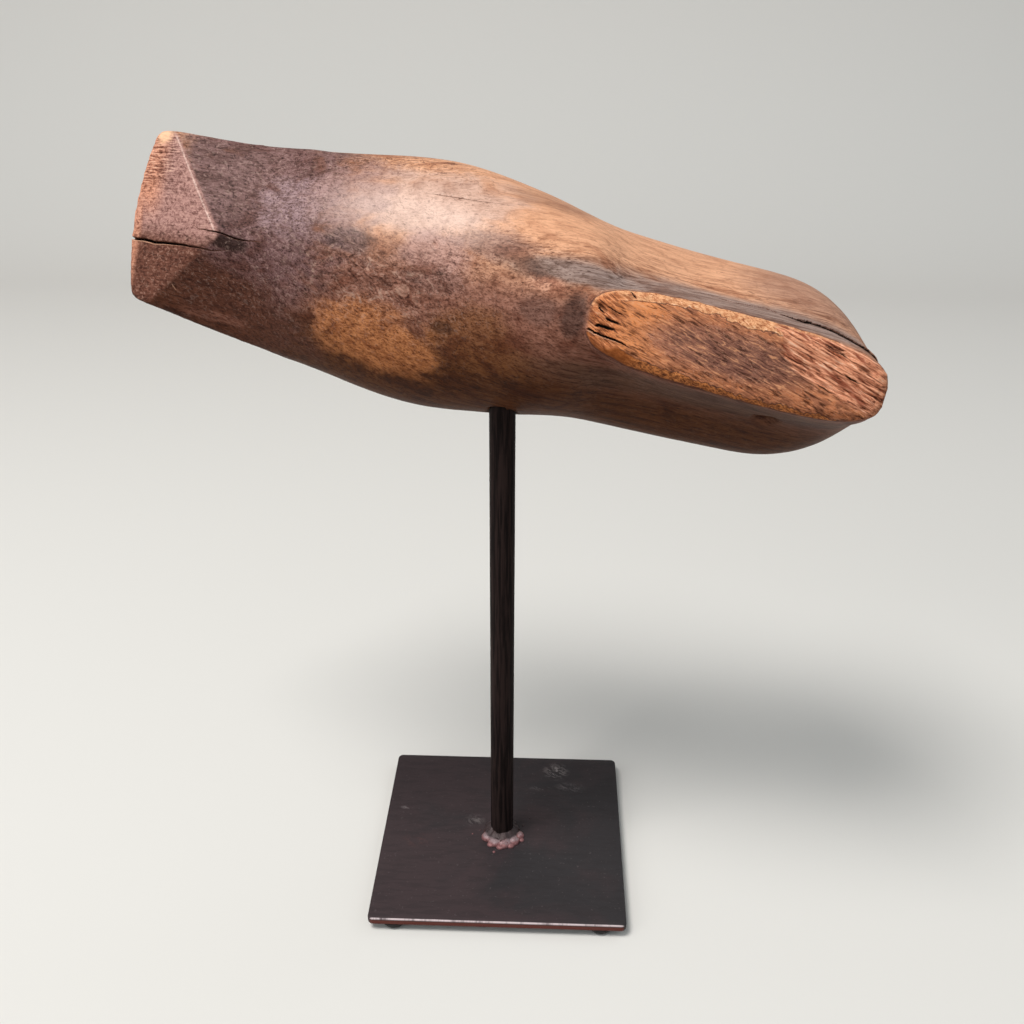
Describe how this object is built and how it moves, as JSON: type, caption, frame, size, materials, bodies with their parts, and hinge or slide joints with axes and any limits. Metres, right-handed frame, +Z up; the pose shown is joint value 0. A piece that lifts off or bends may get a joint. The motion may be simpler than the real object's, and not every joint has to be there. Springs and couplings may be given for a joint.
{
  "type": "shoe last on a stand",
  "caption": "Antique square-toed wooden shoe last lying on its side, drilled from below and set on a round steel rod welded to a square plate with small rubber feet.",
  "frame": {"origin": "on the floor, under the middle of the whole object's box; the rod's axis stands 3.3 mm to the right of it and 1.4 mm in front of it", "axes": "+Z up along the rod, +X to the right as seen from the front, which is the side that the cone's top faces, +Y to the back, which is the side that the sole faces; the toe points to -X"},
  "size_m": [0.2665, 0.1043, 0.2893],
  "materials": {
    "worn_wood": "old close-grained hardwood, oiled and handled to a soft sheen, with drying cracks, dents and raw torn grain on the cone's top",
    "blackened_steel": "black mill scale with faint scuffs, bright along the plate's front edge",
    "weld_metal": "lumpy bare weld, pinkish grey with a little rust",
    "black_rubber": "matt black rubber"
  },
  "bodies": {
    "stand": {"base_plate": "blackened_steel", "support_rod": "blackened_steel", "weld_bead": "weld_metal", "foot_front_left": "black_rubber", "foot_front_right": "black_rubber", "foot_rear_left": "black_rubber", "foot_rear_right": "black_rubber"},
    "last": {"last_body": "worn_wood"}
  },
  "joints": [
    {"name": "last_swivel", "type": "hinge", "parent": "stand", "child": "last", "pos_m": [0.0033, -0.0014, 0.2266], "axis": [0, 0, 1], "continuous": true}
  ]
}
